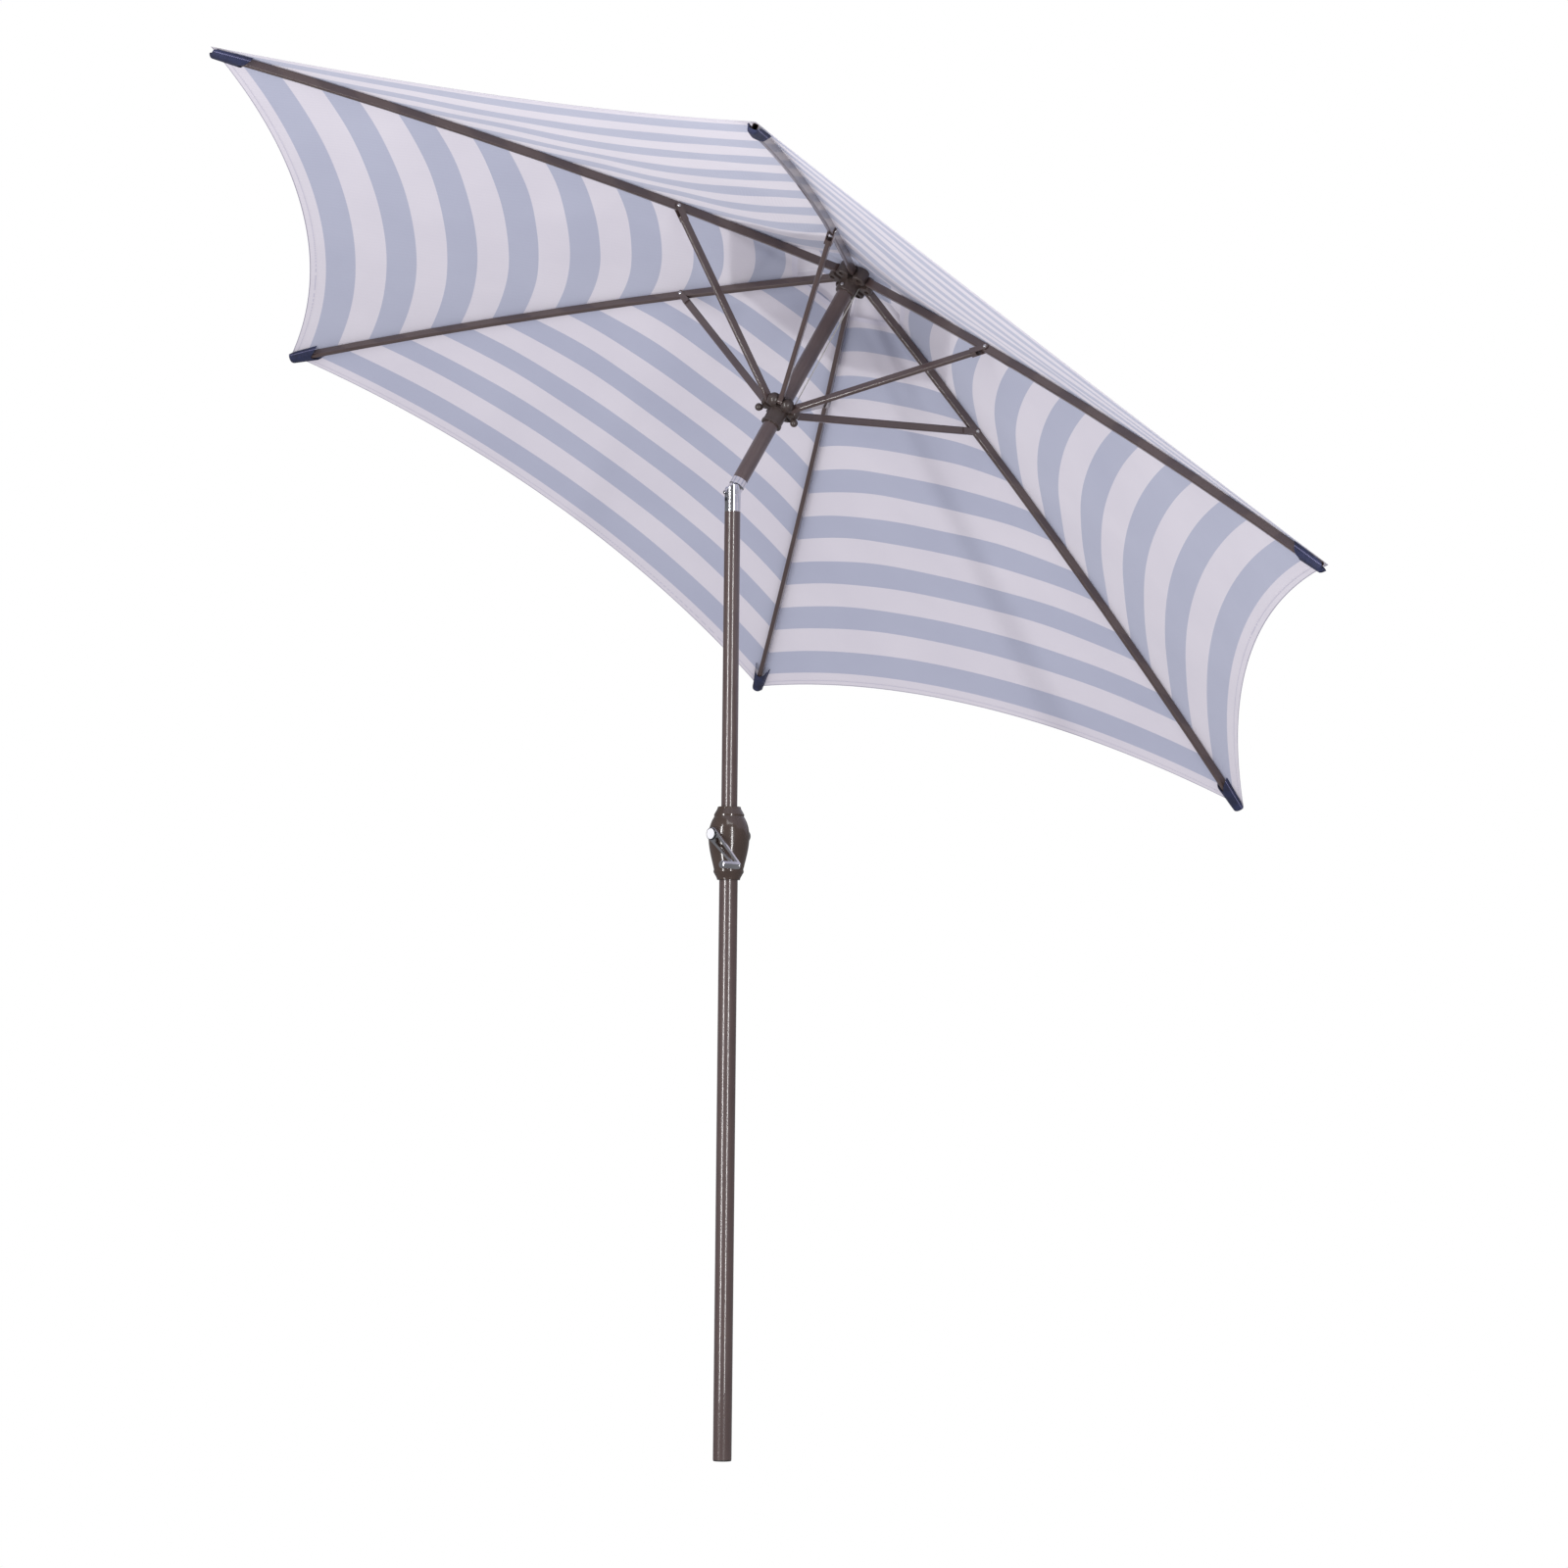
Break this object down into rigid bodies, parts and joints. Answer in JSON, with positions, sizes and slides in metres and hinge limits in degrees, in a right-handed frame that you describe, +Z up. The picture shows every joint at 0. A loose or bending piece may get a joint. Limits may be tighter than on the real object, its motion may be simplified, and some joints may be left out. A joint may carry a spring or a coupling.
{
  "type": "beach umbrella",
  "caption": "Open tilting umbrella: scalloped, vented striped canopy on straight ribs and struts, sliding runner, button tilt joint, crank housing and a plain two-part pole.",
  "frame": {"origin": "centre of the mast's foot, on its lower face", "axes": "+Z up the mast, +X the way the canopy leans, +Y across the lean"},
  "size_m": [2.4009, 2.4042, 2.7706],
  "materials": {
    "pole_brown": "satin dark brown powder coat",
    "plastic_brown": "glossy dark brown moulding",
    "hub_brown": "satin dark brown moulding",
    "foot_plastic": "matt black-brown moulding",
    "chrome": "polished chrome plate",
    "steel": "bright zinc plated steel",
    "black_plastic": "black moulding",
    "badge_grey": "plain neutral disc",
    "canopy_cloth": "woven polyester, pale blue and off-white bands",
    "pocket_cloth": "navy webbing",
    "cord": "thin braided cord, off-white"
  },
  "bodies": {
    "mast": {"foot_plug": "foot_plastic", "lower_pole": "pole_brown", "housing_front": "plastic_brown", "housing_back": "plastic_brown", "housing_collar_bottom": "plastic_brown", "housing_collar_top": "plastic_brown", "housing_screws": "steel", "mast_tube": "pole_brown", "tilt_ferrule": "chrome", "tilt_pin": "steel", "lift_cord_lower": "cord"},
    "crank": {"crank_spool": "steel", "crank_arm": "chrome", "crank_caps": "black_plastic", "crank_badge": "badge_grey"},
    "grip": {"crank_grip": "chrome"},
    "button": {"tilt_button": "chrome"},
    "canopy_pole": {"upper_pole": "pole_brown", "tilt_tongue": "chrome", "top_hub": "hub_brown", "hub_screw": "steel", "hub_pins": "steel", "finial": "hub_brown", "pulley_pin": "steel", "lift_cord_upper": "cord", "lift_cord_outer": "cord"},
    "pulley": {"pulley": "black_plastic"},
    "runner": {"runner": "hub_brown", "runner_pins": "steel", "runner_knobs": "hub_brown"},
    "rib_a": {"rib_a": "pole_brown", "tip_pocket_a": "pocket_cloth", "canopy_panel_a": "canopy_cloth", "vent_panel_a": "canopy_cloth"},
    "strut_a": {"strut_a": "pole_brown"},
    "rib_b": {"rib_b": "pole_brown", "tip_pocket_b": "pocket_cloth", "canopy_panel_b": "canopy_cloth", "vent_panel_b": "canopy_cloth"},
    "strut_b": {"strut_b": "pole_brown"},
    "rib_c": {"rib_c": "pole_brown", "tip_pocket_c": "pocket_cloth", "canopy_panel_c": "canopy_cloth", "vent_panel_c": "canopy_cloth"},
    "strut_c": {"strut_c": "pole_brown"},
    "rib_d": {"rib_d": "pole_brown", "tip_pocket_d": "pocket_cloth", "canopy_panel_d": "canopy_cloth", "vent_panel_d": "canopy_cloth"},
    "strut_d": {"strut_d": "pole_brown"},
    "rib_e": {"rib_e": "pole_brown", "tip_pocket_e": "pocket_cloth", "canopy_panel_e": "canopy_cloth", "vent_panel_e": "canopy_cloth"},
    "strut_e": {"strut_e": "pole_brown"},
    "rib_f": {"rib_f": "pole_brown", "tip_pocket_f": "pocket_cloth", "canopy_panel_f": "canopy_cloth", "vent_panel_f": "canopy_cloth"},
    "strut_f": {"strut_f": "pole_brown"}
  },
  "joints": [
    {"name": "tilt", "type": "hinge", "parent": "mast", "child": "canopy_pole", "pos_m": [0, 0, 1.981], "axis": [0, -1, 0], "range_deg": [0, 30]},
    {"name": "tilt_button_press", "type": "slide", "parent": "canopy_pole", "child": "button", "axis": [1, 0, 0], "range_m": [0, 0.0035], "stiffness_N_per_m": 400, "springref_m": -0.003},
    {"name": "runner_slide", "type": "slide", "parent": "canopy_pole", "child": "runner", "axis": [-0.5, 0, -0.866], "range_m": [0, 0.138], "deforming": ["canopy_panel_a", "vent_panel_a", "canopy_panel_b", "vent_panel_b", "canopy_panel_c", "vent_panel_c", "canopy_panel_d", "vent_panel_d", "canopy_panel_e", "vent_panel_e", "canopy_panel_f", "vent_panel_f", "lift_cord_outer"]},
    {"name": "crank_turn", "type": "hinge", "parent": "mast", "child": "crank", "pos_m": [0, 0, 1.271], "axis": [-0.9455, -0.3256, 0], "range_deg": [0, 777]},
    {"name": "grip_spin", "type": "hinge", "parent": "crank", "child": "grip", "pos_m": [-0.02382, -0.08593, 1.20318], "axis": [-0.9455, -0.3256, 0], "continuous": true},
    {"name": "pulley_turn", "type": "hinge", "parent": "canopy_pole", "child": "pulley", "pos_m": [0.28675, -0.0065, 2.45515], "axis": [0.433, 0.866, -0.25], "range_deg": [0, 966]},
    {"name": "rib_a_fold", "type": "hinge", "parent": "canopy_pole", "child": "rib_a", "pos_m": [0.30411, 0, 2.44374], "axis": [0, 1, 0], "range_deg": [0, 13.66]},
    {"name": "strut_a_fold", "type": "hinge", "parent": "rib_a", "child": "strut_a", "pos_m": [0.57615, 0, 2.15932], "axis": [0, 1, 0], "range_deg": [-21.79, 0]},
    {"name": "rib_b_fold", "type": "hinge", "parent": "canopy_pole", "child": "rib_b", "pos_m": [0.29026, 0.02771, 2.45174], "axis": [-0.75, 0.5, 0.433], "range_deg": [0, 13.66]},
    {"name": "strut_b_fold", "type": "hinge", "parent": "rib_b", "child": "strut_b", "pos_m": [0.3987, 0.3549, 2.26177], "axis": [-0.75, 0.5, 0.433], "range_deg": [-21.79, 0]},
    {"name": "rib_c_fold", "type": "hinge", "parent": "canopy_pole", "child": "rib_c", "pos_m": [0.26254, 0.02771, 2.46774], "axis": [-0.75, -0.5, 0.433], "range_deg": [0, 13.66]},
    {"name": "strut_c_fold", "type": "hinge", "parent": "rib_c", "child": "strut_c", "pos_m": [0.0438, 0.3549, 2.46667], "axis": [-0.75, -0.5, 0.433], "range_deg": [-21.79, 0]},
    {"name": "rib_d_fold", "type": "hinge", "parent": "canopy_pole", "child": "rib_d", "pos_m": [0.24869, 0, 2.47574], "axis": [0, -1, 0], "range_deg": [0, 13.66]},
    {"name": "strut_d_fold", "type": "hinge", "parent": "rib_d", "child": "strut_d", "pos_m": [-0.13365, 0, 2.56912], "axis": [0, -1, 0], "range_deg": [-21.79, 0]},
    {"name": "rib_e_fold", "type": "hinge", "parent": "canopy_pole", "child": "rib_e", "pos_m": [0.26254, -0.02771, 2.46774], "axis": [0.75, -0.5, -0.433], "range_deg": [0, 13.66]},
    {"name": "strut_e_fold", "type": "hinge", "parent": "rib_e", "child": "strut_e", "pos_m": [0.0438, -0.3549, 2.46667], "axis": [0.75, -0.5, -0.433], "range_deg": [-21.79, 0]},
    {"name": "rib_f_fold", "type": "hinge", "parent": "canopy_pole", "child": "rib_f", "pos_m": [0.29026, -0.02771, 2.45174], "axis": [0.75, 0.5, -0.433], "range_deg": [0, 13.66]},
    {"name": "strut_f_fold", "type": "hinge", "parent": "rib_f", "child": "strut_f", "pos_m": [0.3987, -0.3549, 2.26177], "axis": [0.75, 0.5, -0.433], "range_deg": [-21.79, 0]}
  ],
  "couplings": [
    {"joint": "crank_turn", "follows": "runner_slide", "rad_per_m": 98.039},
    {"joint": "pulley_turn", "follows": "runner_slide", "rad_per_m": 121.95},
    {"joint": "rib_a_fold", "follows": "runner_slide", "rad_per_m": 1.7149},
    {"joint": "strut_a_fold", "follows": "runner_slide", "rad_per_m": -2.7435},
    {"joint": "rib_b_fold", "follows": "runner_slide", "rad_per_m": 1.7149},
    {"joint": "strut_b_fold", "follows": "runner_slide", "rad_per_m": -2.7435},
    {"joint": "rib_c_fold", "follows": "runner_slide", "rad_per_m": 1.7149},
    {"joint": "strut_c_fold", "follows": "runner_slide", "rad_per_m": -2.7435},
    {"joint": "rib_d_fold", "follows": "runner_slide", "rad_per_m": 1.7149},
    {"joint": "strut_d_fold", "follows": "runner_slide", "rad_per_m": -2.7435},
    {"joint": "rib_e_fold", "follows": "runner_slide", "rad_per_m": 1.7149},
    {"joint": "strut_e_fold", "follows": "runner_slide", "rad_per_m": -2.7435},
    {"joint": "rib_f_fold", "follows": "runner_slide", "rad_per_m": 1.7149},
    {"joint": "strut_f_fold", "follows": "runner_slide", "rad_per_m": -2.7435}
  ]
}
